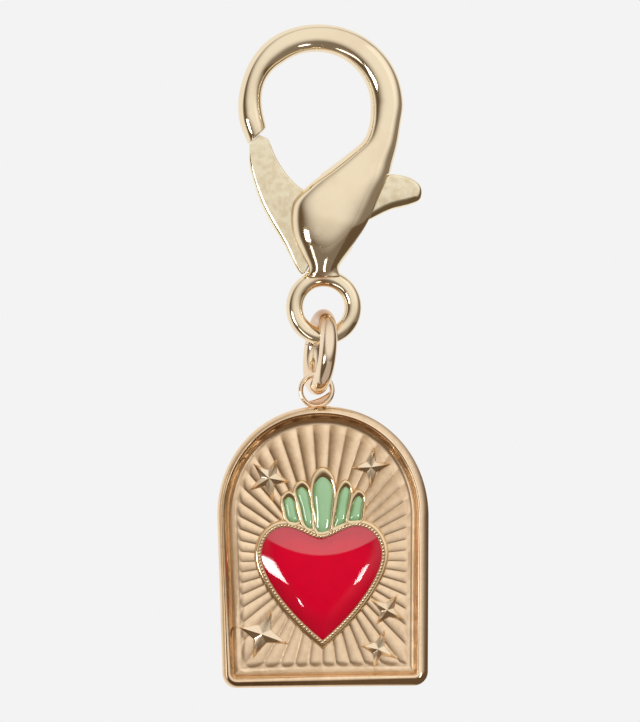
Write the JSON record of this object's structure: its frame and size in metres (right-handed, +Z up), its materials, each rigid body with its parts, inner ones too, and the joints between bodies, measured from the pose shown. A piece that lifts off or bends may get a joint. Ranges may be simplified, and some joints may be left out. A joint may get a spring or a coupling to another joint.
{
  "type": "enamel heart charm",
  "caption": "Arched medal with a flaming enamel heart on a sunburst, hung by a jump ring from a sprung lobster claw clasp",
  "frame": {"origin": "top of the hook's opening, where the hook bears on what it hangs from, on the middle plane of the clasp", "axes": "+X to the right as seen from the front, +Y from the front to the back, +Z up, the charm hanging down along -Z"},
  "size_m": [0.0253, 0.0102, 0.0796],
  "materials": {
    "polished_gold": "mirror polished, pale champagne gold plate",
    "satin_gold": "satin cast faces with polished edges",
    "rivet_gold": "polished flush",
    "spring_steel": "drawn wire",
    "medal_gold": "polished rim and relief, satin sunburst, warm pale gold",
    "red_enamel": "high gloss domed enamel",
    "green_enamel": "high gloss enamel"
  },
  "bodies": {
    "clasp": {"clasp_body": "polished_gold", "lever_pin": "rivet_gold", "lever_spring": "spring_steel"},
    "lever": {"clasp_lever": "satin_gold"},
    "link": {"connecting_link": "polished_gold"},
    "charm": {"bail": "polished_gold", "medal": "medal_gold", "heart_enamel": "red_enamel", "flame_centre": "green_enamel", "flame_left_inner": "green_enamel", "flame_left_outer": "green_enamel", "flame_right_inner": "green_enamel", "flame_right_outer": "green_enamel"}
  },
  "joints": [
    {"name": "lever_pivot", "type": "hinge", "parent": "clasp", "child": "lever", "pos_m": [0.00024, 0, -0.02154], "axis": [0, 1, 0], "range_deg": [0, 28], "stiffness_Nm_per_rad": 0.06, "springref_deg": -20.05},
    {"name": "link_swing", "type": "hinge", "parent": "clasp", "child": "link", "pos_m": [0.00092, 0, -0.03414], "axis": [1, 0, 0], "range_deg": [-70, 70]},
    {"name": "charm_swing", "type": "hinge", "parent": "link", "child": "charm", "pos_m": [0.00005, 0, -0.04015], "axis": [0, 1, 0], "range_deg": [-80, 80]}
  ]
}
